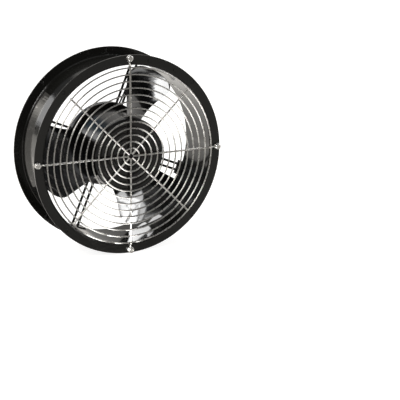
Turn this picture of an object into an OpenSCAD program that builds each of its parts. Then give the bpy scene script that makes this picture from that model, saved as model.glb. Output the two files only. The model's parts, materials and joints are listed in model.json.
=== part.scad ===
// Axial fan: round double-flanged steel body, wire guard, external-rotor motor, three broad blades.
// Millimetres. The fan axis is Y, the guard faces -Y, Z is up.
// The origin is the centre of the rear flange's mounting face.

/* [Casing] */
// Inside diameter of the tube
bore_d = 251; // [246:0.5:256]
// Width of each flange, from the bore to the outer edge
flange_w = 14.5; // [13.5:0.25:20]
// Depth from flange face to flange face
depth = 80; // [74:1:96]
// Sheet thickness of tube and flanges
sheet_t = 1.5; // [1.2:0.1:2]
// Bend radius on the air side, where tube turns into flange
bend_r = 3.5; // [3:0.25:4.5]
// Distance from the edge of a flange to the middle of its holes
hole_edge = 4.5; // [4:0.25:5]
// Diameter of each flange hole
flange_hole_d = 4.8; // [4.5:0.1:5]
// Number of holes in each flange
flange_holes = 8; // [8:4:16]

/* [Guard] */
// Number of guard rings is fixed at 13, this is the middle radius of the smallest
ring_first_r = 11.8; // [10:0.1:13]
// Distance from the bore of the tube in to the middle of the largest ring
ring_edge = 2.1; // [1.5:0.1:4]
// Wire diameter of the rings
ring_wire_d = 2; // [1.6:0.1:2.4]
// Wire diameter of the radial wires
radial_wire_d = 2.4; // [2.2:0.1:3]
// Height of the ring plane above the front flange face
guard_stand_off = 6; // [5.4:0.1:8]
// Gap between neighbouring radial wires where they start near the middle
radial_gap = 0.3; // [0.2:0.05:3]

/* [Screws] */
// Thread diameter of the guard screws
screw_d = 4; // [3.5:0.1:4]
// Head diameter of the guard screws
screw_head_d = 8.4; // [7.6:0.1:9]
// Head height of the guard screws
screw_head_h = 3; // [2.4:0.1:3.4]

/* [Impeller] */
// Gap between the blade tips and the tube
tip_gap = 3; // [2.5:0.25:6]
// Outside diameter of the rotor cup
rotor_d = 104; // [102:0.5:106]
// Angle from the leading edge of a blade round to its trailing edge
blade_sweep = 52; // [42:1:58]
// Sheet thickness of the blades
blade_t = 1.8; // [1.2:0.1:2.4]
// Camber of the blades as a part of the chord
blade_camber = 0.05; // [0.02:0.01:0.1]
// Rounding of the leading tip corner, measured along the radius
tip_round_r = 20; // [10:1:28]

/* [Motor mount] */
// How far the motor plate stands out past the rotor
plate_margin = 8; // [6:0.5:10]
// Diameter of each strut rod
rod_d = 3.5; // [3:0.1:4]
// Distance between the two rods of one strut
rod_spacing = 9; // [8:0.5:12]
// Turn of the struts from the guard screws
strut_turn = 22.5; // [20:0.5:26]

/* [Hidden] */

// Clearances
touch = 0.05;
running = 0.04;
weld_gap = 0.06;
cut = 0.5;

// Colours
paint = [0.13, 0.13, 0.12];
blade_paint = [0.10, 0.10, 0.10];
nickel = [0.82, 0.79, 0.75];
steel = [0.62, 0.63, 0.65];
bright_steel = [0.80, 0.80, 0.80];
alloy = [0.55, 0.56, 0.57];
copper = [0.72, 0.40, 0.20];
insulator = [0.90, 0.88, 0.80];
sleeve_black = [0.08, 0.08, 0.08];
block_grey = [0.25, 0.25, 0.26];

// Casing
bore_r = bore_d / 2;
flange_r = bore_r + flange_w;
tube_r = bore_r + sheet_t;
bend_mid_r = bore_r + bend_r;
hole_circle_r = flange_r - hole_edge;
wall_hole_d = 3.6;
wall_holes = [[161, depth - 44], [90.4, bend_r + 2.1]];

// Guard
ring_z = depth + guard_stand_off;
radial_z = ring_z - ring_wire_d / 2 - radial_wire_d / 2 - touch;
rings = 13;
last_ring_r = bore_r - ring_edge;
ring_pitch = (last_ring_r - ring_first_r) / (rings - 1);
radial_wires = 8;
radial_start_r = radial_wire_d / 2 / sin(180 / radial_wires) + radial_gap;
hole_ease = 0.2;
eyelet_r = screw_d / 2 + hole_ease + radial_wire_d / 2;
foot_z = depth + radial_wire_d / 2 + touch;
step_r = 3;
step_drop = radial_z - foot_z;
seam_gap = 0.2;
seam_r = radial_wire_d / 2 + 0.02;
step_reach = sqrt(4 * step_r * step_r + seam_gap * seam_gap);
step_a = acos((2 * step_r - step_drop) / step_reach) - atan(seam_gap / (2 * step_r));
step_run = 2 * step_r * sin(step_a) + seam_gap * cos(step_a);
past_ring = 0.6;
step_start_r = last_ring_r + ring_wire_d / 2 + past_ring;
short_wire_end_r = last_ring_r + past_ring;

// Screws and nuts
head_z = depth + radial_wire_d + 2 * touch;
screw_reach = 8;
screw_bottom_z = depth - screw_reach;
screw_round_r = 1.4;
recess_w = 1;
recess_l = 4.6;
recess_depth = 1.5;
nut_flats = 7;
nut_h = 3.2;
nut_top_z = depth - sheet_t - touch;
nut_bore_r = screw_d / 2 + touch;

// Struts
rod_r = rod_d / 2;
strut_z = -6;
strut_a = 45 + strut_turn;
plate_r = rotor_d / 2 + plate_margin;
foot_t = 1.2;
foot_out_r = bore_r - touch;
foot_in_r = foot_out_r - foot_t;
foot_half_a = 4.7;
rod_cover = 1.25;
foot_low_z = strut_z - rod_r - rod_cover;
rod_sink = 11;
lead_r = 1.2;
lead_inner_z = -3;
lead_outer_z = 7;
foot_cover = 4;
foot_high_z = lead_outer_z + foot_cover;
lead_rise = atan((lead_outer_z - lead_inner_z) / (bore_r - plate_r));
lead_side = rod_spacing / 2 - rod_r - lead_r - 0.1;
lead_hole_r = 1.7;

// Motor plate and bearing tube
plate_low_z = strut_z - rod_r - rod_cover;
plate_high_z = 2;
plate_edge_r = 1.5;
shaft_r = 5;
race_t = 2.5;
ball_space = 3;
tube_wall = 3;
inner_ring_r = shaft_r + race_t;
outer_ring_r = inner_ring_r + ball_space;
tube_bore_r = outer_ring_r + race_t;
bearing_tube_r = tube_bore_r + tube_wall;
shoulder_w = 1.5;
shoulder_r = tube_bore_r - shoulder_w;
bearing_h = 8;
spring_h = 1;
tube_lip = 1;
boss_h = 17;
boss_gap = 9;
cup_recess = 1;
cup_top_z = depth - cup_recess;
boss_low_z = cup_top_z - boss_h;
bearing_tube_top_z = boss_low_z - boss_gap;
rear_bearing_z = 2;
front_bearing_z = bearing_tube_top_z - tube_lip - bearing_h;
shoulder_low_z = rear_bearing_z + bearing_h;
shoulder_high_z = front_bearing_z - spring_h;
cap_t = 2;

// Bearings
ball_path_r = (inner_ring_r + outer_ring_r) / 2;
groove_depth = 0.95;
groove_r = ball_space / 2 + groove_depth;
ball_r = groove_r - 0.07;
balls = 8;

// Stator and rotor from the outside in
rotor_r = rotor_d / 2;
cup_wall = 2;
rotor_core_t = 13.55;
air_gap = 0.4;
tooth_tip_t = 2.5;
rotor_core_out_r = rotor_r - cup_wall - touch;
rotor_core_in_r = rotor_core_out_r - rotor_core_t;
core_out_r = rotor_core_in_r - air_gap;
slot_out_r = core_out_r - tooth_tip_t;
core_lift = 20;
core_low_z = rear_bearing_z + core_lift;
core_high_z = bearing_tube_top_z - tube_lip;
core_in_r = bearing_tube_r + touch;
slots = 12;
yoke_t = 4;
slot_in_r = bearing_tube_r + yoke_t;
slot_in_w = 5;
slot_out_w = 11;
slot_mouth_w = 2.6;
slot_clear = 0.4;
insulator_t = 0.8;
end_turn_h = 7;
end_turn_round_r = 2.5;

// Rotor
cup_gap = 4;
cup_low_z = plate_high_z + cup_gap;
cup_edge_r = 3;
cup_face_t = 2.6;
boss_wall = 5;
boss_r = shaft_r + boss_wall;
shaft_cover = 6;
shaft_top_z = cup_top_z - shaft_cover;
shaft_step = 1.5;
shaft_step_r = shaft_r + shaft_step;
bar_r = 1.6;
bar_in = 4.1;
bar_path_r = rotor_core_in_r + bar_in;
bars = 24;
end_ring_in_r = rotor_core_in_r + 1.1;
end_ring_out_r = bar_path_r + 4.5;
end_ring_h = 6;
clip_h = 1.2;
clip_gap = 0.25;
clip_z = rear_bearing_z - clip_h - clip_gap;
clip_depth = 0.6;
clip_groove_r = shaft_r - clip_depth;
clip_w = 2;
clip_out_r = shaft_r + clip_w;
shaft_end = 3.55;
shaft_low_z = clip_z - shaft_end;

// Blades: angles are counted anticlockwise from +X, seen from the guard side
tip_r = bore_r - tip_gap;
root_r = rotor_r + weld_gap;
lead_a = 89.5;
lead_drop = 10;
lead_z = depth - lead_drop;
trail_root_z = cup_low_z + 2;
trail_tip_rise = 10;
trail_tip_z = trail_root_z + trail_tip_rise;
root_sweep_a = 8;
root_sweep_reach = 34;
trail_round_r = 14;
trail_round_arc = 13;
lead_round_arc = 40;
blade_steps = 24;
blade_rows = 16;

// Terminal
block_turn = 68;
block_w = 30;
block_in_r = tube_r + 0.6;
block_h = 7.2;
block_drop = 10;
block_l = 16;
block_high_z = depth - block_drop;
block_low_z = block_high_z - block_l;
shelf_t = 1.2;
shelf_r = block_in_r + block_h + touch;
rivet_r = bend_mid_r + 4;
rivet_a = 9;
rivet_d = 2.4;
tab_w = 4.8;
tab_t = 0.8;
tab_step = 9;

// Turns a shape drawn along Z into the part frame, where the axis points to -Y
module axial() {
  rotate([90, 0, 0])
    children();
}

// One quarter of a bent sheet, seen in section
module bend_section() {
  intersection() {
    difference() {
      circle(r = bend_r, $fn = 48);
      circle(r = bend_r - sheet_t, $fn = 48);
    }
    translate([-bend_r - 1, -bend_r - 1])
      square(bend_r + 1);
  }
}

// Flange and bend at one end of the casing, seen in section
module flange_section() {
  translate([bend_mid_r, 0])
    square([flange_r - bend_mid_r, sheet_t]);
  translate([bend_mid_r, bend_r])
    bend_section();
}

module casing_section() {
  translate([bore_r, bend_r])
    square([sheet_t, depth - 2 * bend_r]);
  flange_section();
  translate([0, depth])
    mirror([0, 1])
      flange_section();
}

// Holes of one flange, every fourth part of the circle can take a guard screw
module flange_hole_set(z, guard_hole_d) {
  for (i = [0 : flange_holes - 1])
    rotate(i * 360 / flange_holes)
      translate([hole_circle_r, 0, z - cut])
        cylinder(d = i % (flange_holes / 4) == 0 ? guard_hole_d : flange_hole_d, h = sheet_t + 2 * cut, $fn = 32);
}

module casing() {
  color(paint)
    axial()
      difference() {
        rotate_extrude($fn = 180)
          casing_section();
        flange_hole_set(0, flange_hole_d);
        flange_hole_set(depth - sheet_t, screw_d + 2 * hole_ease);
        for (h = wall_holes)
          rotate(h[0])
            translate([bore_r - 1, 0, h[1]])
              rotate([0, 90, 0])
                cylinder(d = wall_hole_d, h = sheet_t + 3, $fn = 32);
        rotate(strut_a)
          translate([bore_r - 1, lead_side, lead_path_z(bore_r)])
            rotate([0, 90, 0])
              cylinder(r = lead_hole_r, h = sheet_t + 3, $fn = 32);
        for (s = [-1, 1])
          rotate(block_turn + s * rivet_a)
            translate([rivet_r, 0, depth - sheet_t - cut])
              cylinder(d = rivet_d + 2 * touch, h = sheet_t + 2 * cut, $fn = 24);
      }
}

// Guard ring number i, counted outwards from 1
module guard_ring(i) {
  color(nickel)
    axial()
      translate([0, 0, ring_z])
        rotate_extrude($fn = 120)
          translate([ring_first_r + (i - 1) * ring_pitch, 0])
            circle(d = ring_wire_d, $fn = 20);
}

// Arc of wire in the XZ plane, starting at the origin along X and turning down by step_a
module wire_arc() {
  translate([0, 0, -step_r])
    rotate([90, 0, 0])
      rotate([0, 0, 90 - step_a])
        rotate_extrude(angle = step_a, $fn = 96)
          translate([step_r, 0])
            circle(d = radial_wire_d, $fn = 20);
}

module wire_along_x(from_r, to_r, z) {
  translate([from_r, 0, z])
    rotate([0, 90, 0])
      cylinder(d = radial_wire_d, h = to_r - from_r, $fn = 20);
}

// Small ball that fills the seam between two lengths of wire
module wire_seam(x, z) {
  translate([x, 0, z])
    sphere(r = seam_r, $fn = 32);
}

// Wire from x = far_x to the bend, then half the step down to the origin
module wire_half(far_x) {
  wire_along_x(far_x, -step_run / 2 - seam_gap, step_drop / 2);
  wire_seam(-step_run / 2 - seam_gap / 2, step_drop / 2);
  translate([-step_run / 2, 0, step_drop / 2])
    wire_arc();
}

// Radial wire that steps back to the flange and ends in an eyelet
module guard_long_wire(k) {
  mid_r = step_start_r + step_run / 2;
  color(nickel)
    axial()
      rotate(k * 90)
        translate([mid_r, 0, foot_z + step_drop / 2]) {
          wire_half(radial_start_r - mid_r);
          wire_seam(0, 0);
          rotate([0, 180, 0])
            wire_half(mid_r + eyelet_r - hole_circle_r);
          translate([hole_circle_r - mid_r, 0, -step_drop / 2])
            rotate_extrude($fn = 64)
              translate([eyelet_r, 0])
                circle(d = radial_wire_d, $fn = 20);
        }
}

module guard_short_wire(k) {
  color(nickel)
    axial()
      rotate(45 + k * 90)
        wire_along_x(radial_start_r, short_wire_end_r, radial_z);
}

// Section of the screw head, rounded at the top edge
module screw_head_section() {
  square([screw_head_d / 2, screw_head_h - screw_round_r]);
  square([screw_head_d / 2 - screw_round_r, screw_head_h]);
  translate([screw_head_d / 2 - screw_round_r, screw_head_h - screw_round_r])
    intersection() {
      circle(r = screw_round_r, $fn = 32);
      square(screw_round_r);
    }
}

module guard_screw() {
  translate([0, 0, screw_bottom_z])
    cylinder(d = screw_d, h = head_z - screw_bottom_z + cut, $fn = 32);
  translate([0, 0, head_z])
    difference() {
      rotate_extrude($fn = 64)
        screw_head_section();
      for (a = [0, 90])
        rotate(a)
          translate([-recess_l / 2, -recess_w / 2, screw_head_h - recess_depth])
            cube([recess_l, recess_w, recess_depth + cut]);
    }
}

module guard_screws() {
  color(bright_steel)
    axial()
      for (i = [0 : 3])
        rotate(i * 90)
          translate([hole_circle_r, 0, 0])
            guard_screw();
}

module guard_nuts() {
  color(bright_steel)
    axial()
      for (i = [0 : 3])
        rotate(i * 90)
          translate([hole_circle_r, 0, nut_top_z - nut_h])
            difference() {
              linear_extrude(nut_h)
                intersection_for(k = [0 : 2])
                  rotate(k * 60)
                    square([nut_flats, 3 * nut_flats], center = true);
              translate([0, 0, -cut])
                cylinder(r = nut_bore_r, h = nut_h + 2 * cut, $fn = 32);
            }
}

// Height of the leads at radius r, they rise between two rods from the plate to the wall
function lead_path_z(r) = lead_inner_z + (r - plate_r) * tan(lead_rise);

// A round bar that runs level from one radius to another, just behind the rear flange
module level_bar(radius, from_r, to_r, side) {
  translate([from_r, side, strut_z])
    rotate([0, 90, 0])
      cylinder(r = radius, h = to_r - from_r, $fn = 32);
}

// A round bar that follows the slope of the leads from one radius to another
module sloped_bar(radius, from_r, to_r, side) {
  translate([from_r, side, lead_path_z(from_r)])
    rotate([0, 90 - lead_rise, 0])
      cylinder(r = radius, h = (to_r - from_r) / cos(lead_rise), $fn = 32);
}

module strut_rods(k) {
  color(paint)
    axial()
      intersection() {
        rotate(strut_a + k * 90)
          for (s = [-1, 1])
            level_bar(rod_r, plate_r - rod_sink, bore_r + 2, s * rod_spacing / 2);
        translate([0, 0, plate_low_z])
          cylinder(r = foot_in_r - touch, h = depth, $fn = 180);
      }
}

// Curved foot that is welded to the casing wall and carries the ends of two rods
module strut_foot(k, with_lead_hole) {
  color(paint)
    axial()
      rotate(strut_a + k * 90)
        difference() {
          translate([0, 0, foot_low_z])
            rotate([0, 0, -foot_half_a])
              rotate_extrude(angle = 2 * foot_half_a, $fn = 360)
                translate([foot_in_r, 0])
                  square([foot_t, foot_high_z - foot_low_z]);
          if (with_lead_hole)
            translate([foot_in_r - 2, lead_side, lead_path_z(bore_r)])
              rotate([0, 90, 0])
                cylinder(r = lead_hole_r, h = foot_t + 4, $fn = 32);
        }
}

module motor_plate_section() {
  translate([tube_bore_r, plate_low_z])
    square([plate_r - tube_bore_r - plate_edge_r, plate_high_z - plate_low_z]);
  translate([tube_bore_r, plate_low_z + plate_edge_r])
    square([plate_r - tube_bore_r, plate_high_z - plate_low_z - 2 * plate_edge_r]);
  for (z = [plate_low_z + plate_edge_r, plate_high_z - plate_edge_r])
    translate([plate_r - plate_edge_r, z])
      circle(r = plate_edge_r, $fn = 32);
  translate([tube_bore_r, plate_low_z])
    square([bearing_tube_r - tube_bore_r, bearing_tube_top_z - plate_low_z]);
  translate([shoulder_r, shoulder_low_z])
    square([bearing_tube_r - shoulder_r, shoulder_high_z - shoulder_low_z]);
}

// Cast plate with the bearing tube, bored for the strut rods and the leads
module motor_plate() {
  color(paint)
    axial()
      difference() {
        rotate_extrude($fn = 120)
          motor_plate_section();
        for (k = [0 : 3])
          rotate(strut_a + k * 90)
            for (s = [-1, 1])
              level_bar(rod_r + touch, plate_r - rod_sink - touch, plate_r + 4, s * rod_spacing / 2);
        rotate(strut_a)
          sloped_bar(lead_r + 0.2, plate_r - rod_sink, plate_r + 4, lead_side);
      }
}

module bearing_cap() {
  color(paint)
    axial()
      translate([0, 0, plate_low_z])
        cylinder(r = tube_bore_r - touch, h = cap_t, $fn = 64);
}

// Outline of one stator slot, grown by g on every side when g is positive
module slot_outline(g) {
  polygon([[slot_in_r - g, -slot_in_w / 2 - g], [slot_out_r + g, -slot_out_w / 2 - g],
    [slot_out_r + g, slot_out_w / 2 + g], [slot_in_r - g, slot_in_w / 2 + g]]);
}

module core_outline() {
  difference() {
    circle(r = core_out_r, $fn = 120);
    circle(r = core_in_r, $fn = 96);
    for (i = [0 : slots - 1])
      rotate(i * 360 / slots) {
        slot_outline(0);
        translate([slot_out_r - 1, -slot_mouth_w / 2])
          square([core_out_r - slot_out_r + 2, slot_mouth_w]);
      }
  }
}

module stator_core() {
  color(steel)
    axial()
      translate([0, 0, core_low_z])
        linear_extrude(core_high_z - core_low_z)
          core_outline();
}

module winding_insulator(z) {
  color(insulator)
    axial()
      translate([0, 0, z])
        linear_extrude(insulator_t)
          core_outline();
}

// Ring of end turns, rounded on its free side
module end_turns() {
  rotate_extrude($fn = 96) {
    translate([slot_in_r + slot_clear, 0])
      square([slot_out_r - slot_in_r - 2 * slot_clear, end_turn_h - end_turn_round_r]);
    translate([slot_in_r + slot_clear + end_turn_round_r, 0])
      square([slot_out_r - slot_in_r - 2 * slot_clear - 2 * end_turn_round_r, end_turn_h]);
    for (r = [slot_in_r + slot_clear + end_turn_round_r, slot_out_r - slot_clear - end_turn_round_r])
      translate([r, end_turn_h - end_turn_round_r])
        circle(r = end_turn_round_r, $fn = 32);
  }
}

module stator_windings() {
  low = core_low_z - insulator_t - 2 * touch;
  high = core_high_z + insulator_t + 2 * touch;
  color(copper)
    axial() {
      for (i = [0 : slots - 1])
        rotate(i * 360 / slots)
          translate([0, 0, low - 1])
            linear_extrude(high - low + 2)
              slot_outline(-slot_clear);
      translate([0, 0, high])
        end_turns();
      translate([0, 0, low])
        mirror([0, 0, 1])
          end_turns();
    }
}

module ball_groove() {
  translate([ball_path_r, bearing_h / 2])
    circle(r = groove_r, $fn = 32);
}

module bearing_outer_ring(z) {
  color(bright_steel)
    axial()
      translate([0, 0, z])
        rotate_extrude($fn = 96)
          difference() {
            translate([outer_ring_r, 0])
              square([tube_bore_r - running / 2 - outer_ring_r, bearing_h]);
            ball_groove();
          }
}

module bearing_inner_ring(z) {
  color(bright_steel)
    axial()
      translate([0, 0, z])
        rotate_extrude($fn = 96)
          difference() {
            translate([shaft_r + running / 2, 0])
              square([inner_ring_r - shaft_r - running / 2, bearing_h]);
            ball_groove();
          }
}

module bearing_balls(z) {
  color(bright_steel)
    axial()
      for (i = [0 : balls - 1])
        rotate(i * 360 / balls)
          translate([ball_path_r, 0, z + bearing_h / 2])
            sphere(r = ball_r, $fn = 24);
}

module preload_spring() {
  color(steel)
    axial()
      translate([0, 0, shoulder_high_z + touch])
        difference() {
          cylinder(r = tube_bore_r - 0.2, h = front_bearing_z - shoulder_high_z - 2 * touch, $fn = 64);
          translate([0, 0, -cut])
            cylinder(r = shoulder_r - 0.5, h = front_bearing_z - shoulder_high_z + 2 * cut, $fn = 64);
        }
}

module shaft() {
  color(steel)
    axial()
      difference() {
        union() {
          translate([0, 0, shaft_low_z])
            cylinder(r = shaft_r, h = shaft_top_z - shaft_low_z, $fn = 64);
          translate([0, 0, front_bearing_z + bearing_h + touch])
            cylinder(r = shaft_step_r, h = boss_low_z - front_bearing_z - bearing_h - 2 * touch, $fn = 64);
        }
        translate([0, 0, clip_z - touch])
          difference() {
            cylinder(r = shaft_r + 1, h = clip_h + 2 * touch, $fn = 64);
            translate([0, 0, -cut])
              cylinder(r = clip_groove_r, h = clip_h + 2 * cut, $fn = 64);
          }
      }
}

module retaining_ring() {
  color(steel)
    axial()
      translate([0, 0, clip_z])
        difference() {
          cylinder(r = clip_out_r, h = clip_h, $fn = 64);
          translate([0, 0, -cut])
            cylinder(r = clip_groove_r + touch, h = clip_h + 2 * cut, $fn = 64);
          translate([0, -2, -cut])
            cube([clip_out_r + 2, 4, clip_h + 2 * cut]);
        }
}

// Section of the deep-drawn rotor cup with its rounded front edge and the boss for the shaft
module rotor_cup_section() {
  translate([rotor_r - cup_wall, cup_low_z])
    square([cup_wall, cup_top_z - cup_low_z - cup_edge_r]);
  translate([0, cup_top_z - cup_face_t])
    square([rotor_r - cup_edge_r, cup_face_t]);
  translate([rotor_r - cup_edge_r, cup_top_z - cup_edge_r])
    intersection() {
      circle(r = cup_edge_r, $fn = 48);
      square(cup_edge_r);
    }
  translate([shaft_r + running / 2, boss_low_z])
    square([boss_r - shaft_r - running / 2, cup_top_z - boss_low_z]);
  translate([0, shaft_top_z + touch])
    square([boss_r, cup_top_z - shaft_top_z - touch]);
}

module rotor_cup() {
  color(blade_paint)
    axial()
      rotate_extrude($fn = 180)
        rotor_cup_section();
}

module rotor_core() {
  color(steel)
    axial()
      translate([0, 0, core_low_z])
        difference() {
          cylinder(r = rotor_core_out_r, h = core_high_z - core_low_z, $fn = 120);
          translate([0, 0, -cut])
            cylinder(r = rotor_core_in_r, h = core_high_z - core_low_z + 2 * cut, $fn = 120);
          for (i = [0 : bars - 1])
            rotate(i * 360 / bars)
              translate([bar_path_r, 0, -cut])
                cylinder(r = bar_r + touch, h = core_high_z - core_low_z + 2 * cut, $fn = 20);
        }
}

module rotor_cage() {
  color(alloy)
    axial() {
      for (i = [0 : bars - 1])
        rotate(i * 360 / bars)
          translate([bar_path_r, 0, core_low_z - 1])
            cylinder(r = bar_r, h = core_high_z - core_low_z + 2, $fn = 20);
      for (z = [core_low_z - end_ring_h - touch, core_high_z + touch])
        translate([0, 0, z])
          difference() {
            cylinder(r = end_ring_out_r, h = end_ring_h, $fn = 96);
            translate([0, 0, -cut])
              cylinder(r = end_ring_in_r, h = end_ring_h + 2 * cut, $fn = 96);
          }
    }
}

// Arc length cut away at radius r by an elliptical corner that starts round_r below the tip
function corner_arc(r, round_r, arc) =
  let (t = max(0, (r - tip_r + round_r) / round_r))
  arc * (1 - sqrt(max(0, 1 - t * t)));

// Height of the trailing edge at radius r, which rises towards the tip
function trail_z(r) = trail_root_z + (trail_tip_z - trail_root_z) * pow((r - root_r) / (tip_r - root_r), 2);

// Angle from edge to edge at radius r before the tip corners are rounded, it widens at the root
function sweep_a(r) = blade_sweep + root_sweep_a * pow(max(0, 1 - (r - root_r) / root_sweep_reach), 2);

// The middle surface runs from s = 0 at the leading edge to s = 1 at the trailing edge, hollow towards the guard
function chord_height(s, r) = lead_z + (trail_z(r) - lead_z) * s;
function full_arc(r) = sweep_a(r) * PI / 180 * r;
function chord_len(r) = sqrt(pow(full_arc(r), 2) + pow(lead_z - trail_z(r), 2));
function bulge(s, r) = -4 * blade_camber * chord_len(r) * s * (1 - s);

// Parts of the chord where the rounded blade starts and ends at radius r
function start_s(r) = corner_arc(r, tip_round_r, lead_round_arc) / full_arc(r);
function end_s(r) = 1 - corner_arc(r, trail_round_r, trail_round_arc) / full_arc(r);

// Half thickness, thinned towards both edges
function half_t(s) = blade_t / 2 * (0.45 + 0.55 * sqrt(max(0, 1 - pow(2 * s - 1, 4))));

// One point of the blade surface: row radius r, part u of the row, side -1 or 1
function blade_point(r, u, side) =
  let (
    s = start_s(r) + (end_s(r) - start_s(r)) * u,
    len = chord_len(r),
    ca = full_arc(r) / len,
    cz = (lead_z - trail_z(r)) / len,
    off = bulge(s, r) + side * half_t(u),
    arc = full_arc(r) * s + off * cz,
    z = chord_height(s, r) + off * ca,
    a = lead_a - arc / r * 180 / PI
  )
  [r * cos(a), r * sin(a), z];

function row_radius(k) = root_r + (tip_r - root_r) * sin(90 * k / blade_rows);

// Closed loop of points round the blade section of row k
function blade_loop(k) = concat(
  [for (i = [0 : blade_steps]) blade_point(row_radius(k), i / blade_steps, 1)],
  [for (i = [blade_steps : -1 : 0]) blade_point(row_radius(k), i / blade_steps, -1)]);

module blade_body() {
  n = 2 * (blade_steps + 1);
  points = [for (k = [0 : blade_rows]) for (p = blade_loop(k)) p];
  sides = [for (k = [0 : blade_rows - 1]) for (i = [0 : n - 1])
    for (t = [0, 1])
      t == 0
        ? [k * n + i, (k + 1) * n + i, k * n + (i + 1) % n]
        : [k * n + (i + 1) % n, (k + 1) * n + i, (k + 1) * n + (i + 1) % n]];
  ends = [for (k = [0, blade_rows]) for (i = [0 : blade_steps - 1]) for (t = [0, 1])
    let (
      p = k * n + i,
      q = k * n + i + 1,
      u = k * n + n - 1 - i,
      v = k * n + n - 2 - i,
      f = t == 0 ? [p, q, u] : [q, v, u]
    )
    k == 0 ? f : [f[2], f[1], f[0]]];
  polyhedron(points = points, faces = concat(sides, ends), convexity = 6);
}

module blade(k) {
  color(blade_paint)
    axial()
      rotate(k * 120)
        blade_body();
}

// Insulated leads: along the upper strut, out through the wall, then forward to the block
module motor_leads() {
  out_r = tube_r + lead_r + 0.9;
  bend = 3;
  color(sleeve_black)
    axial()
      rotate(strut_a)
        translate([0, lead_side, 0]) {
          sloped_bar(lead_r, plate_r - rod_sink + 1, out_r - bend, 0);
          translate([out_r - bend, 0, lead_path_z(out_r - bend)])
            sphere(r = lead_r, $fn = 24);
          translate([out_r - bend, 0, lead_path_z(out_r - bend) + bend])
            rotate([90, 0, 0])
              rotate([0, 0, -90])
                rotate_extrude(angle = 90, $fn = 64)
                  translate([bend, 0])
                    circle(r = lead_r, $fn = 20);
          translate([out_r, 0, lead_path_z(out_r - bend) + bend])
            cylinder(r = lead_r, h = block_low_z + 4 - lead_path_z(out_r - bend) - bend, $fn = 20);
        }
}

// Bracket behind the front flange: a riveted leg and a shelf over the terminal block
module terminal_bracket() {
  leg_z = depth - sheet_t - touch - shelf_t;
  color(steel)
    axial()
      rotate(block_turn)
        difference() {
          union() {
            rotate([0, 0, -rivet_a - 1.8])
              translate([0, 0, leg_z])
                rotate_extrude(angle = 2 * rivet_a + 3.6, $fn = 360)
                  translate([bend_mid_r + 1, 0])
                    square([shelf_r + shelf_t - bend_mid_r - 1, shelf_t]);
            translate([shelf_r, -block_w / 2 + 1, block_low_z])
              cube([shelf_t, block_w - 2, leg_z + shelf_t - block_low_z]);
          }
          for (s = [-1, 1])
            rotate(s * rivet_a)
              translate([rivet_r, 0, leg_z - cut])
                cylinder(d = rivet_d + 2 * touch, h = shelf_t + 2 * cut, $fn = 24);
        }
}

module bracket_rivets() {
  grip_low = depth - sheet_t - 2 * touch - shelf_t;
  color(paint)
    axial()
      for (s = [-1, 1])
        rotate(block_turn + s * rivet_a)
          translate([rivet_r, 0, 0]) {
            translate([0, 0, grip_low - 1])
              cylinder(d = rivet_d, h = depth + touch - grip_low + 1.3, $fn = 24);
            translate([0, 0, depth + touch])
              cylinder(d = rivet_d + 1.6, h = 0.8, $fn = 32);
            translate([0, 0, grip_low - 1.2])
              cylinder(d = rivet_d + 1.2, h = 1.2, $fn = 32);
          }
}

module terminal_block() {
  color(block_grey)
    axial()
      rotate(block_turn)
        difference() {
          translate([block_in_r, -block_w / 2, block_low_z])
            cube([block_h, block_w, block_high_z - block_low_z]);
          for (k = [-1, 0, 1])
            translate([block_in_r + block_h / 2 - tab_t / 2 - touch, k * tab_step - tab_w / 2 - touch, block_low_z + 6])
              cube([tab_t + 2 * touch, tab_w + 2 * touch, block_high_z - block_low_z]);
          rotate(strut_a - block_turn)
            translate([tube_r + lead_r + 0.9, lead_side, block_low_z - cut])
              cylinder(r = lead_r + 0.2, h = 5 + cut, $fn = 24);
        }
}

module terminal_tabs() {
  color(bright_steel)
    axial()
      rotate(block_turn)
        for (k = [-1, 0, 1])
          translate([block_in_r + block_h / 2 - tab_t / 2, k * tab_step - tab_w / 2, block_low_z + 6 + touch])
            cube([tab_t, tab_w, block_high_z - block_low_z]);
}

casing();
guard_ring(1);  // guard_ring_01
guard_ring(2);  // guard_ring_02
guard_ring(3);  // guard_ring_03
guard_ring(4);  // guard_ring_04
guard_ring(5);  // guard_ring_05
guard_ring(6);  // guard_ring_06
guard_ring(7);  // guard_ring_07
guard_ring(8);  // guard_ring_08
guard_ring(9);  // guard_ring_09
guard_ring(10);  // guard_ring_10
guard_ring(11);  // guard_ring_11
guard_ring(12);  // guard_ring_12
guard_ring(13);  // guard_ring_13
guard_long_wire(0);  // guard_long_wire_right
guard_long_wire(1);  // guard_long_wire_top
guard_long_wire(2);  // guard_long_wire_left
guard_long_wire(3);  // guard_long_wire_bottom
guard_short_wire(0);  // guard_short_wire_1
guard_short_wire(1);  // guard_short_wire_2
guard_short_wire(2);  // guard_short_wire_3
guard_short_wire(3);  // guard_short_wire_4
guard_screws();
guard_nuts();
strut_rods(0);  // strut_rods_top
strut_rods(1);  // strut_rods_left
strut_rods(2);  // strut_rods_bottom
strut_rods(3);  // strut_rods_right
strut_foot(0, true);  // strut_foot_top
strut_foot(1, false);  // strut_foot_left
strut_foot(2, false);  // strut_foot_bottom
strut_foot(3, false);  // strut_foot_right
motor_plate();
bearing_cap();
stator_core();
stator_windings();
winding_insulator(core_high_z + touch);  // front_winding_insulator
winding_insulator(core_low_z - insulator_t - touch);  // rear_winding_insulator
bearing_outer_ring(front_bearing_z);  // front_bearing_outer_ring
bearing_outer_ring(rear_bearing_z);  // rear_bearing_outer_ring
preload_spring();
shaft();
bearing_inner_ring(front_bearing_z);  // front_bearing_inner_ring
bearing_inner_ring(rear_bearing_z);  // rear_bearing_inner_ring
bearing_balls(front_bearing_z);  // front_bearing_balls
bearing_balls(rear_bearing_z);  // rear_bearing_balls
retaining_ring();
rotor_cup();
rotor_core();
rotor_cage();
blade(0);  // blade_1
blade(1);  // blade_2
blade(2);  // blade_3
motor_leads();
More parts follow.
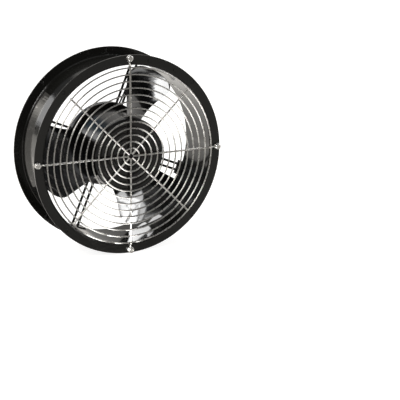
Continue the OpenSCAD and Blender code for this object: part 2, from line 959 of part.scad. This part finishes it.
terminal_bracket();
bracket_rivets();
terminal_block();
terminal_tabs();
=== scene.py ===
import json
import math
import random

import bmesh
import bpy
import numpy as np
from mathutils import Matrix, Quaternion, Vector


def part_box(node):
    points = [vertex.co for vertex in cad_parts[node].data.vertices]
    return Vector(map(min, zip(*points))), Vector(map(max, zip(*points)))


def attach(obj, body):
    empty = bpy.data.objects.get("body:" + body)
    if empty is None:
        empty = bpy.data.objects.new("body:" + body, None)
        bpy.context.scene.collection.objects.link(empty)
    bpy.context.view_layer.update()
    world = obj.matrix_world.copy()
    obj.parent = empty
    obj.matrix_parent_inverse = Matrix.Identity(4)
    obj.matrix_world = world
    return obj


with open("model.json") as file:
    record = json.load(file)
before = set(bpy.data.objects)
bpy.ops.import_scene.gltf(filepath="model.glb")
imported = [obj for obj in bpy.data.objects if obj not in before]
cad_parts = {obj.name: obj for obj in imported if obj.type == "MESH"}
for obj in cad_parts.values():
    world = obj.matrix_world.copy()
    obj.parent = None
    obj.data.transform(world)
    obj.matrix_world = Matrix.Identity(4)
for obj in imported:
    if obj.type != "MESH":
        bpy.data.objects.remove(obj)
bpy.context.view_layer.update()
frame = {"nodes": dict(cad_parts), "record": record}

NODES = frame["nodes"]
MM = 0.001
RNG = random.Random(11)

# The fan's own measures, in millimetres and degrees, as in the solids
FLANGE_R = 140
BOLT_CIRCLE_R = 135.5
DEPTH = 80
SHEET = 1.5
RING_R = [11.8 + 9.3 * i for i in range(13)]
SPOKES = 8
STRUT_Y = 6
STRUT_DEG = {"top": 67.5, "left": 157.5, "bottom": 247.5, "right": 337.5}
BLADES = ("blade_1", "blade_2", "blade_3")


# Node helpers

def new_tree(holder):
    """The emptied node tree of a material or world."""
    holder.use_nodes = True
    holder.node_tree.nodes.clear()
    return holder.node_tree


def node(nt, kind, **values):
    """A new node, its inputs and settings filled in by name."""
    n = nt.nodes.new(kind)
    for key, value in values.items():
        if key in n.inputs:
            n.inputs[key].default_value = value
        else:
            setattr(n, key, value)
    return n


def link(nt, a, out, b, into):
    nt.links.new(a.outputs[out], b.inputs[into])


def maths(nt, operation, *sources):
    """A Math node fed by (node, output) pairs or numbers."""
    m = node(nt, "ShaderNodeMath", operation=operation)
    for i, source in enumerate(sources):
        if isinstance(source, tuple):
            link(nt, *source, m, i)
        else:
            m.inputs[i].default_value = source
    return m


def object_axes(nt):
    """Position in the object's own space, split into X, Y and Z."""
    tc = node(nt, "ShaderNodeTexCoord")
    sep = node(nt, "ShaderNodeSeparateXYZ")
    link(nt, tc, "Object", sep, "Vector")
    return sep


def scaled_position(nt, scale):
    """Position in the object's own space times a scale for each axis."""
    tc = node(nt, "ShaderNodeTexCoord")
    mp = node(nt, "ShaderNodeMapping", Scale=scale)
    link(nt, tc, "Object", mp, "Vector")
    return mp


def object_noise(nt, scale, stretch=(1, 1, 1), detail=3.0):
    """Noise in the object's own space, drawn out where stretch is small."""
    nz = node(nt, "ShaderNodeTexNoise", Scale=scale, Detail=detail, Roughness=0.55)
    link(nt, scaled_position(nt, stretch), "Vector", nz, "Vector")
    return nz


def axis_distance(nt):
    """How far a point of the object lies from the fan axis."""
    sep = object_axes(nt)
    flat = node(nt, "ShaderNodeCombineXYZ")
    link(nt, sep, "X", flat, "X")
    link(nt, sep, "Z", flat, "Y")
    length = node(nt, "ShaderNodeVectorMath", operation="LENGTH")
    link(nt, flat, "Vector", length, 0)
    return length


def ring_noise(nt, scale, detail=4.0, drift=0.0):
    """Noise in rings about the fan axis; drift makes it change slowly along them too."""
    line = node(nt, "ShaderNodeCombineXYZ")
    link(nt, axis_distance(nt), "Value", line, "X")
    both = node(nt, "ShaderNodeVectorMath", operation="ADD")
    link(nt, line, "Vector", both, 0)
    link(nt, scaled_position(nt, (drift, drift, drift)), "Vector", both, 1)
    nz = node(nt, "ShaderNodeTexNoise", Scale=scale, Detail=detail, Roughness=0.7)
    link(nt, both, "Vector", nz, "Vector")
    return nz


def span(nt, source, out, low, high, lo_in=0.3, hi_in=0.7):
    """The source's range lo_in to hi_in mapped to low to high."""
    m = node(nt, "ShaderNodeMapRange")
    m.inputs["From Min"].default_value = lo_in
    m.inputs["From Max"].default_value = hi_in
    m.inputs["To Min"].default_value = low
    m.inputs["To Max"].default_value = high
    link(nt, source, out, m, "Value")
    return m


def two_colours(nt, source, out, dark, light):
    """A ramp from dark to light over the middle of the source's range."""
    ramp = node(nt, "ShaderNodeValToRGB")
    for stop, place, colour in zip(ramp.color_ramp.elements, (0.3, 0.7), (dark, light)):
        stop.position = place
        stop.color = (*colour, 1)
    link(nt, source, out, ramp, "Fac")
    return ramp


# Materials of the pieces

# Painted highlight: a lighter colour on the flange rims stands in for light catching their edges
RIM_HIGHLIGHT_IN, RIM_HIGHLIGHT_OUT = (FLANGE_R - 0.5) * MM, (FLANGE_R - 0.1) * MM
BUMP_DEPTH = 0.6 * MM
# How much finer the roughness varies than the colour: smears, or grain on turned parts
SMEARS_PER_CLOUD = 2.3
GRAINS_PER_CLOUD = 3


def rim_painted_highlight(nt, colour, rim_highlight_colour):
    """The colour with a painted highlight, lighter and broken up, where the flanges end."""
    edge = span(nt, axis_distance(nt), "Value", 0.0, 1.0, RIM_HIGHLIGHT_IN, RIM_HIGHLIGHT_OUT)
    broken = span(nt, object_noise(nt, 220.0, detail=5.0), "Fac", 0.25, 1.0, 0.35, 0.62)
    share = maths(nt, "MULTIPLY", (edge, "Result"), (broken, "Result"))
    mix = node(nt, "ShaderNodeMix", data_type="RGBA")
    link(nt, share, "Value", mix, "Factor")
    link(nt, colour, "Color", mix, 6)
    mix.inputs[7].default_value = (*rim_highlight_colour, 1)
    return mix


def surface(name, dark, light, metallic, rough, scale, bump, bump_scale=900.0,
            bump_stretch=(1, 1, 1), specular=0.5, rim_highlight_colour=None, rings=0.0, waves=0.0):
    """Paint, bare metal or plastic: cloudy colour, uneven roughness and a fine bump.

    The rim colour given is a painted highlight on the flange rims. rings turns the bump into turning
    marks about the fan axis, and waves into a slow unevenness of the sheet.
    """
    mat = bpy.data.materials.new(name)
    nt = new_tree(mat)
    bsdf = node(nt, "ShaderNodeBsdfPrincipled", Metallic=metallic)
    bsdf.inputs["Specular IOR Level"].default_value = specular
    colour = two_colours(nt, object_noise(nt, scale), "Fac", dark, light)
    if rim_highlight_colour:
        link(nt, rim_painted_highlight(nt, colour, rim_highlight_colour), 2, bsdf, "Base Color")
    else:
        link(nt, colour, "Color", bsdf, "Base Color")
    if rings:
        height = ring_noise(nt, rings)
        grain = object_noise(nt, scale * GRAINS_PER_CLOUD)
        total = maths(nt, "ADD", (height, "Fac"), (grain, "Fac"))
        uneven = span(nt, maths(nt, "MULTIPLY", (total, "Value"), 0.5), "Value", *rough)
    else:
        smear = object_noise(nt, scale * SMEARS_PER_CLOUD, detail=5.0)
        uneven = span(nt, smear, "Fac", *rough)
        if waves:
            height = ring_noise(nt, waves, detail=1.0, drift=0.07)
        else:
            height = object_noise(nt, bump_scale, bump_stretch, detail=2.0)
    link(nt, uneven, "Result", bsdf, "Roughness")
    relief = node(nt, "ShaderNodeBump", Strength=bump, Distance=BUMP_DEPTH)
    link(nt, height, "Fac", relief, "Height")
    link(nt, relief, "Normal", bsdf, "Normal")
    link(nt, bsdf, "BSDF", node(nt, "ShaderNodeOutputMaterial"), "Surface")
    return mat


LOOKS = {
    # casing_paint's rim colour is a painted highlight on the flange rims
    "casing_paint": dict(
        dark=(0.0062, 0.0062, 0.0054), light=(0.0086, 0.0086, 0.0075), metallic=0.0,
        rough=(0.09, 0.125), scale=14, bump=0.006, rim_highlight_colour=(0.11, 0.107, 0.10)),
    "guard_wire": dict(
        dark=(0.51, 0.495, 0.47), light=(0.59, 0.575, 0.55), metallic=1.0,
        rough=(0.24, 0.32), scale=90, bump=0.012, bump_scale=1500),
    "bright_steel": dict(
        dark=(0.80, 0.79, 0.76), light=(0.92, 0.91, 0.88), metallic=0.9,
        rough=(0.16, 0.30), scale=200, bump=0.06, bump_scale=1800),
    "motor_paint": dict(
        dark=(0.016, 0.013, 0.011), light=(0.026, 0.022, 0.018), metallic=0.0,
        rough=(0.24, 0.34), scale=60, bump=0.08),
    "rotor_paint": dict(
        dark=(0.0050, 0.0047, 0.0043), light=(0.0085, 0.0080, 0.0072), metallic=0.0,
        rough=(0.14, 0.22), scale=40, bump=0.03, rings=900.0),
    "blade_paint": dict(
        dark=(0.0040, 0.0040, 0.0044), light=(0.0065, 0.0065, 0.0072), metallic=0.0,
        rough=(0.05, 0.10), scale=14, bump=0.05, specular=1.0, waves=90.0),
    "core_steel": dict(
        dark=(0.30, 0.31, 0.32), light=(0.48, 0.49, 0.50), metallic=1.0,
        rough=(0.30, 0.5), scale=120, bump=0.08),
    "bearing_steel": dict(
        dark=(0.60, 0.60, 0.62), light=(0.74, 0.74, 0.76), metallic=1.0,
        rough=(0.10, 0.2), scale=150, bump=0.03, bump_scale=1500),
    "cage_alloy": dict(
        dark=(0.50, 0.51, 0.53), light=(0.68, 0.69, 0.71), metallic=1.0,
        rough=(0.35, 0.55), scale=120, bump=0.12, bump_scale=800),
    "copper": dict(
        dark=(0.52, 0.22, 0.09), light=(0.70, 0.33, 0.14), metallic=1.0,
        rough=(0.25, 0.4), scale=60, bump=0.5, bump_scale=600, bump_stretch=(1, 6, 1)),
    "insulator": dict(
        dark=(0.66, 0.61, 0.48), light=(0.80, 0.76, 0.63), metallic=0.0,
        rough=(0.5, 0.65), scale=100, bump=0.06, bump_scale=700),
    "lead_sleeve": dict(
        dark=(0.010, 0.010, 0.010), light=(0.022, 0.022, 0.021), metallic=0.0,
        rough=(0.45, 0.62), scale=200, bump=0.12, bump_scale=1200, specular=0.4),
    "block_plastic": dict(
        dark=(0.020, 0.020, 0.021), light=(0.034, 0.034, 0.036), metallic=0.0,
        rough=(0.42, 0.58), scale=150, bump=0.10, bump_scale=1600),
    "tab_metal": dict(
        dark=(0.62, 0.58, 0.46), light=(0.76, 0.73, 0.62), metallic=1.0,
        rough=(0.22, 0.36), scale=250, bump=0.04, bump_scale=1200),
}
MATS = {name: surface(name, **look) for name, look in LOOKS.items()}
for sub in frame["record"]["subparts"]:
    ob = NODES[sub["node"]]
    ob.data.materials.clear()
    ob.data.materials.append(MATS[sub["material_slot"]])


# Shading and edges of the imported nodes

SHARP_DEG = 32.0
BEVEL_DEG = 38.0


def shade(ob):
    """Smooth shading, with sharp edges where facets meet at a clear angle."""
    for p in ob.data.polygons:
        p.use_smooth = True
    ob.data.set_sharp_from_angle(angle=math.radians(SHARP_DEG))


def soften(ob, width):
    """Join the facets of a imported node, round its edges and shade it evenly."""
    weld = ob.modifiers.new("join_facets", "WELD")
    weld.merge_threshold = 0.01 * MM
    bevel = ob.modifiers.new("soft_edges", "BEVEL")
    bevel.width = width
    bevel.segments = 2
    bevel.limit_method = "ANGLE"
    bevel.angle_limit = math.radians(BEVEL_DEG)
    bevel.harden_normals = False
    bevel.use_clamp_overlap = True
    normals = ob.modifiers.new("even_shading", "WEIGHTED_NORMAL")
    normals.weight = 50


for ob in NODES.values():
    shade(ob)


# New pieces

ASKEW = Vector((0.12, 0.95, 0.28))  # a direction that no bead follows
END_TAPER = {0: 0.45, 1: 0.85}      # a bead's thickness, by steps from its end
BEAD_SIDES = 8
SHADE_SIDES = 20
# Rows of a hole's disc of painted shade from one side, over its rim, to the other: radius and Y
SHADE_ROWS = ((1.42, -0.1), (2.36, -0.28), (2.36, 0.28), (1.7, 0.12), (0.7, 0.06))
ROOT_BINS = 25


def mesh_piece(name, bm, body, slot):
    """A piece of the scene alone, moving with a body."""
    me = bpy.data.meshes.new(name)
    bm.to_mesh(me)
    bm.free()
    for p in me.polygons:
        p.use_smooth = True
    ob = bpy.data.objects.new(name, me)
    bpy.context.scene.collection.objects.link(ob)
    me.materials.append(MATS[slot])
    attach(ob, body)


def polar(r, deg, y):
    """A point by its distance from the fan axis, its angle about it and its Y."""
    a = math.radians(deg)
    return Vector((r * math.cos(a), y, r * math.sin(a)))


def blob(bm, at, radii, turn_deg, detail):
    """A small lump of metal, radii along the radius, the fan axis and the ring."""
    m = (Matrix.Translation(at) @ Matrix.Rotation(-math.radians(turn_deg), 4, "Y")
         @ Matrix.Diagonal((*radii, 1)))
    bmesh.ops.create_icosphere(bm, subdivisions=detail, radius=1.0, matrix=m)


def circle_angles(count):
    return [2 * math.pi * k / count for k in range(count)]


def tube_sides(bm, rows):
    """Faces from each closed row of points to the next."""
    for a, b in zip(rows, rows[1:]):
        for k in range(len(a)):
            n = (k + 1) % len(a)
            bm.faces.new((a[k], a[n], b[n], b[k]))


def bead(bm, points, radius):
    """A rounded, slightly uneven bead swept along a line of points, closed at both ends."""
    pts = [Vector(p) for p in points]
    rings = []
    for i, p in enumerate(pts):
        along = (pts[min(i + 1, len(pts) - 1)] - pts[max(i - 1, 0)]).normalized()
        side = along.cross(ASKEW).normalized()
        up = side.cross(along).normalized()
        taper = END_TAPER.get(min(i, len(pts) - 1 - i), 1.0)
        rad = radius * taper * RNG.uniform(0.94, 1.06)
        rings.append([bm.verts.new(p + rad * (math.cos(a) * side + math.sin(a) * up))
                      for a in circle_angles(BEAD_SIDES)])
    tube_sides(bm, rings)
    bm.faces.new(rings[0])
    bm.faces.new(rings[-1][::-1])


# Guard: weld nuggets where each ring crosses each radial wire
weld_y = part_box("guard_ring_07")[1][1] - 0.15 * MM  # just inside the rings' rear side
bm = bmesh.new()
for r in RING_R:
    for k in range(SPOKES):
        turn = 360 / SPOKES * k
        s = RNG.uniform(0.9, 1.1)
        radii = (1.25 * s * MM, 0.75 * MM, 1.45 * s * MM)
        blob(bm, polar(r * MM, turn, weld_y), radii, turn, detail=1)
mesh_piece("guard_weld_nuggets", bm, "fan_body", "guard_wire")

# Flanges: painted shade in the open bolt holes, as thin dished dark discs set inside the sheet.
# The rear flange has eight, and the front flange four between the guard's screws.
bm = bmesh.new()
for y_mid, degs in ((-SHEET / 2, range(0, 360, 45)), (SHEET / 2 - DEPTH, range(45, 360, 90))):
    for deg in degs:
        at = polar(BOLT_CIRCLE_R * MM, deg, y_mid * MM)
        rows = [[bm.verts.new(at + Vector((r * math.cos(a), dy, r * math.sin(a))) * MM)
                 for a in circle_angles(SHADE_SIDES)]
                for r, dy in SHADE_ROWS]
        tube_sides(bm, rows)
        bm.faces.new(rows[-1])
        bm.faces.new(rows[0][::-1])
mesh_piece("flange_hole_painted_shade", bm, "fan_body", "lead_sleeve")

# Impeller: weld bead along each blade root, through the means of its innermost points
for n in BLADES:
    co = np.array([v.co for v in NODES[n].data.vertices])
    rad = np.hypot(co[:, 0], co[:, 2])
    root = co[rad < rad.min() + 0.25 * MM]
    order = root[np.argsort(root[:, 1])]
    bins = np.linspace(order[0, 1] - 1e-6, order[-1, 1] + 1e-6, ROOT_BINS + 1)
    line = []
    for a, b in zip(bins, bins[1:]):
        part = order[(order[:, 1] >= a) & (order[:, 1] < b)]
        if len(part):
            line.append(part.mean(0))
    bm = bmesh.new()
    bead(bm, line, 1.35 * MM)
    mesh_piece(n + "_weld", bm, "impeller", "blade_paint")

# Struts: a weld bead along each side of a foot, and lumps of weld where the rods meet it
BEAD_R, BEAD_OFF_DEG, BEAD_Y = 124.9, 4.75, (-10.5, -2.5)
LUMP_R, LUMP_OFF, LUMP_APART = 123.7, 4.5, 1.3
for name, deg in STRUT_DEG.items():
    bm = bmesh.new()
    along_ring = Vector((-math.sin(math.radians(deg)), 0, math.cos(math.radians(deg))))
    for side in (-1, 1):
        pts = [polar(BEAD_R * MM, deg + side * BEAD_OFF_DEG, y * MM)
               for y in np.linspace(*BEAD_Y, 9)]
        bead(bm, pts, 0.9 * MM)
        at = polar(LUMP_R * MM, deg, STRUT_Y * MM) + along_ring * (side * LUMP_OFF * MM)
        for t in (-1, 1):
            blob(bm, at + Vector((0, t * LUMP_APART * MM, 0)),
                 (1.0 * MM, 0.9 * MM, 1.6 * MM), deg, detail=2)
    mesh_piece("strut_weld_" + name, bm, "fan_body", "casing_paint")

EDGE_WIDTHS = {
    0.5: ("casing",),
    0.35: ("rotor_cup", "motor_plate", *BLADES),
    0.2: ("guard_screws", "guard_nuts", "terminal_block", "terminal_bracket"),
}
for width, names in EDGE_WIDTHS.items():
    for n in names:
        soften(NODES[n], width * MM)


# Camera at the photograph's viewpoint, as fitted to its flanges, bolt circle and rings

FOCAL_PX, PICTURE_PX, SENSOR_MM = 1392.34, 400, 36
AZIMUTH, ELEVATION, ROLL = -0.475749723, 0.269858443, 0.00807800007
FAN_FROM_CAMERA = Vector((-133.380958, 80.5371350, 1988.36835))  # mm right, up and away


def photo_camera():
    """The camera, turned to its azimuth, elevation and roll, with the fan's origin in its place."""
    back = Vector((math.sin(AZIMUTH) * math.cos(ELEVATION),
                   -math.cos(AZIMUTH) * math.cos(ELEVATION),
                   math.sin(ELEVATION)))
    away = -back
    level_right = away.cross(Vector((0, 0, 1))).normalized()
    level_up = level_right.cross(away)
    right = math.cos(ROLL) * level_right + math.sin(ROLL) * level_up
    up = -math.sin(ROLL) * level_right + math.cos(ROLL) * level_up
    off = FAN_FROM_CAMERA
    pose = Matrix((right, up, back)).transposed().to_4x4()
    pose.translation = -(right * off.x + up * off.y + away * off.z) * MM
    data = bpy.data.cameras.new("camera")
    data.lens = FOCAL_PX / PICTURE_PX * SENSOR_MM
    data.sensor_width = SENSOR_MM
    data.clip_end = 50
    cam = bpy.data.objects.new("camera", data)
    cam.matrix_world = pose
    bpy.context.scene.collection.objects.link(cam)
    bpy.context.scene.camera = cam


photo_camera()


# Floor and surroundings

WARM = (1.0, 0.965, 0.90)
FLOOR_HALF, FLOOR_Z = 7.0, -0.1404
FLOOR_COLOUR = (0.38, 0.37, 0.355)
FLOOR_LIFT = 0.86
# Panels of the studio, seen in reflections: azimuth (0 is behind the fan, + to its right)
# and half width, elevation and half height, soft edge, all in degrees, then level and colour
PANELS = (
    (41, 40, 10, 26, 3, 0.36, (1.0, 0.96, 0.90)),
    (0, 180, 84, 16, 8, 0.5, (1, 1, 1)),
    (-120, 22, 28, 12, 6, 2.2, (1.0, 0.98, 0.95)),
    (100, 26, 30, 16, 6, 0.7, (1, 1, 1)),
)
BETWEEN_PANELS = (0.09, 0.092, 0.095)
EVEN_LIGHT = 0.55


def stage_floor():
    """A matt floor, lifted to white for the camera; glossy reflections see a warm glow
    that grows behind the fan and ends to its right."""
    me = bpy.data.meshes.new("floor")
    s, z = FLOOR_HALF, FLOOR_Z
    me.from_pydata([(-s, -s, z), (s, -s, z), (s, s, z), (-s, s, z)], [], [(0, 1, 2, 3)])
    ob = bpy.data.objects.new("floor", me)
    bpy.context.scene.collection.objects.link(ob)
    mat = bpy.data.materials.new("floor")
    nt = new_tree(mat)
    rays = node(nt, "ShaderNodeLightPath")
    axes = object_axes(nt)
    behind = span(nt, axes, "Y", 0.0, 0.65, -0.05, 0.35)
    left = span(nt, axes, "X", 1.0, 0.0, 0.20, 0.45)
    place = maths(nt, "MULTIPLY", (behind, "Result"), (left, "Result"))
    shine = maths(nt, "MULTIPLY", (rays, "Is Glossy Ray"), (place, "Value"))
    warm = node(nt, "ShaderNodeEmission", Color=(*WARM, 1))
    link(nt, shine, "Value", warm, "Strength")
    lift = maths(nt, "MULTIPLY", (rays, "Is Camera Ray"), FLOOR_LIFT)
    white = node(nt, "ShaderNodeEmission")
    link(nt, lift, "Value", white, "Strength")
    glow = node(nt, "ShaderNodeAddShader")
    link(nt, white, "Emission", glow, 0)
    link(nt, warm, "Emission", glow, 1)
    total = node(nt, "ShaderNodeAddShader")
    link(nt, node(nt, "ShaderNodeBsdfDiffuse", Color=(*FLOOR_COLOUR, 1)), "BSDF", total, 0)
    link(nt, glow, "Shader", total, 1)
    link(nt, total, "Shader", node(nt, "ShaderNodeOutputMaterial"), "Surface")
    me.materials.append(mat)


def band(nt, source, mid, half, soft):
    """1 within half of mid and 0 beyond it, in degrees, with a soft edge."""
    gap = maths(nt, "SUBTRACT", (source, "Value"), math.radians(mid))
    size = maths(nt, "ABSOLUTE", (maths(nt, "WRAP", (gap, "Value"), math.pi, -math.pi), "Value"))
    edge = span(nt, size, "Value", 1.0, 0.0, math.radians(half - soft), math.radians(half + soft))
    edge.interpolation_type = "SMOOTHSTEP"
    return edge


def studio_world():
    """White to the camera, even light on matt surfaces, and panels on near black in
    glossy reflections."""
    world = bpy.data.worlds.new("studio")
    bpy.context.scene.world = world
    nt = new_tree(world)
    tc = node(nt, "ShaderNodeTexCoord")
    sep = node(nt, "ShaderNodeSeparateXYZ")
    link(nt, tc, "Generated", sep, "Vector")
    azimuth = maths(nt, "ARCTAN2", (sep, "X"), (sep, "Y"))
    height = maths(nt, "ARCSINE", (sep, "Z"))
    total = None
    for az, az_half, el, el_half, soft, level, colour in PANELS:
        share = maths(nt, "MULTIPLY", (band(nt, azimuth, az, az_half, soft), "Result"),
                      (band(nt, height, el, el_half, soft), "Result"))
        panel = node(nt, "ShaderNodeVectorMath", operation="SCALE")
        panel.inputs[0].default_value = [c * level for c in colour]
        link(nt, share, "Value", panel, "Scale")
        add = node(nt, "ShaderNodeVectorMath", operation="ADD")
        link(nt, panel, "Vector", add, 0)
        if total is None:
            add.inputs[1].default_value = BETWEEN_PANELS
        else:
            link(nt, total, "Vector", add, 1)
        total = add
    gloss = node(nt, "ShaderNodeBackground")
    link(nt, total, "Vector", gloss, "Color")
    even = node(nt, "ShaderNodeBackground", Color=(1, 1, 1, 1), Strength=EVEN_LIGHT)
    white = node(nt, "ShaderNodeBackground", Color=(1, 1, 1, 1), Strength=1.0)
    rays = node(nt, "ShaderNodeLightPath")
    lit = node(nt, "ShaderNodeMixShader")
    link(nt, rays, "Is Glossy Ray", lit, "Fac")
    link(nt, even, 0, lit, 1)
    link(nt, gloss, 0, lit, 2)
    seen = node(nt, "ShaderNodeMixShader")
    link(nt, rays, "Is Camera Ray", seen, "Fac")
    link(nt, lit, 0, seen, 1)
    link(nt, white, 0, seen, 2)
    link(nt, seen, "Shader", node(nt, "ShaderNodeOutputWorld"), "Surface")


stage_floor()
studio_world()


# Lamps, in metres

def softbox(name, at, toward, size, level, colour=(1, 1, 1), gloss_only=False, turn=0.0):
    """An area lamp whose face has the given brightness, where 1 is white, turned about its own axis."""
    data = bpy.data.lights.new(name, "AREA")
    data.shape = "RECTANGLE"
    data.size, data.size_y = size
    data.energy = level * math.pi * size[0] * size[1]
    data.color = colour
    ob = bpy.data.objects.new(name, data)
    ob.location = at
    aim = (Vector(toward) - Vector(at)).to_track_quat("-Z", "Y")
    ob.rotation_euler = (aim @ Quaternion((0, 0, 1), turn)).to_euler()
    ob.visible_camera = False
    ob.visible_diffuse = not gloss_only
    bpy.context.scene.collection.objects.link(ob)


def card(name, at, facing, size, level, colour=(1, 1, 1), turn=0.0):
    """A softbox that matt surfaces don't see, facing a direction."""
    at = Vector(at)
    softbox(name, at, at + Vector(facing), size, level, colour, gloss_only=True, turn=turn)


FORWARD = (0, -1, 0)
RIM_CARD_R, RIM_CARD_Y, RIM_CARD_SIZE = 0.1352, -0.0022, (0.011, 0.0095)
WALL_CARD_R, WALL_CARD_WIDTH = 0.1235, 0.0088


def rim_level(deg):
    """Brightness round the rear flange: a bright spot, then an even, dimmer stretch below it."""
    spot = 1.7 * math.exp(-((deg - 148.5) / 6.5) ** 2)
    stretch = 0.40 / (1 + math.exp((157 - deg) / 2))
    return spot + stretch


softbox("key_left", (-1.6, -0.9, 1.3), (0, 0, 0), (0.9, 0.9), 9, (1.0, 0.985, 0.96))
softbox("top_back", (0.3, 1.4, 1.7), (0, 0, 0), (1.6, 0.8), 6)
softbox("side_right", (1.8, -0.2, 0.9), (0, 0, 0), (0.7, 1.2), 4)

# Behind the fan, each three times with growing size for soft edges: the highlight on the
# outer tube, a bright part and a dim one below it
for i in range(3):
    card("card_behind_%d" % i, (-0.230, 0.25, 0.127), FORWARD,
         (0.13 + 0.02 * i, 0.055 + 0.030 * i), 1.8)
    card("card_low_%d" % i, (-0.235, 0.25, -0.020), FORWARD,
         (0.12, 0.19 + 0.020 * i), 0.17, (1.0, 0.94, 0.84))
# A faint blue glint on the rotor, and a glow from the floor
card("card_blue", (-0.075, 0.25, 0.158), FORWARD, (0.13, 0.06), 0.16, (0.15, 0.62, 1.0))
card("card_floor", (-0.34, 0.45, -0.138), (0, 0.01, 0.338), (0.42, 0.60), 0.55, WARM)

# Slats low in front of the guard, met by reflections in the lower blade, the wires and
# the inner wall
for i in range(3):
    card("card_slat_%d" % i, (0.006 - 0.03 * i, -0.185, -0.124), (0.75, 0, 0.66),
         (0.25, 0.042), 6.0)

# In front of the rear flange, met by reflections in the rear half of the tube
for deg in range(140, 203, 2):
    card("card_rim_%d" % deg, polar(RIM_CARD_R, deg, RIM_CARD_Y), FORWARD, RIM_CARD_SIZE,
         rim_level(deg), (1.0, 0.96, 0.89), turn=math.radians(180 - deg))

# In front of the inner wall, met by reflections in the outer part of the upper blade;
# the dim layer reaches further to the rear and softens the bright layer's edge
for deg in range(-4, 41, 4):
    for k, level in enumerate((10.0, 2.0)):
        front, rear = -0.057, -0.033 - 0.00045 * deg + 0.003 * k
        card("card_wall_%d_%d" % (deg + 4, k), polar(WALL_CARD_R, deg, (front + rear) / 2),
             polar(-1, deg, 0), (rear - front, WALL_CARD_WIDTH), level)

# Inside the tube, met by reflections in the bottom of the inner wall
for i, at in enumerate(((0.035, -0.026, -0.1113), (0.055, -0.028, -0.1035))):
    card("card_sill_%d" % i, at, (-0.0185, -0.0872, -0.0454), (0.026, 0.014), 5.0)

bpy.context.scene.view_settings.view_transform = "Standard"
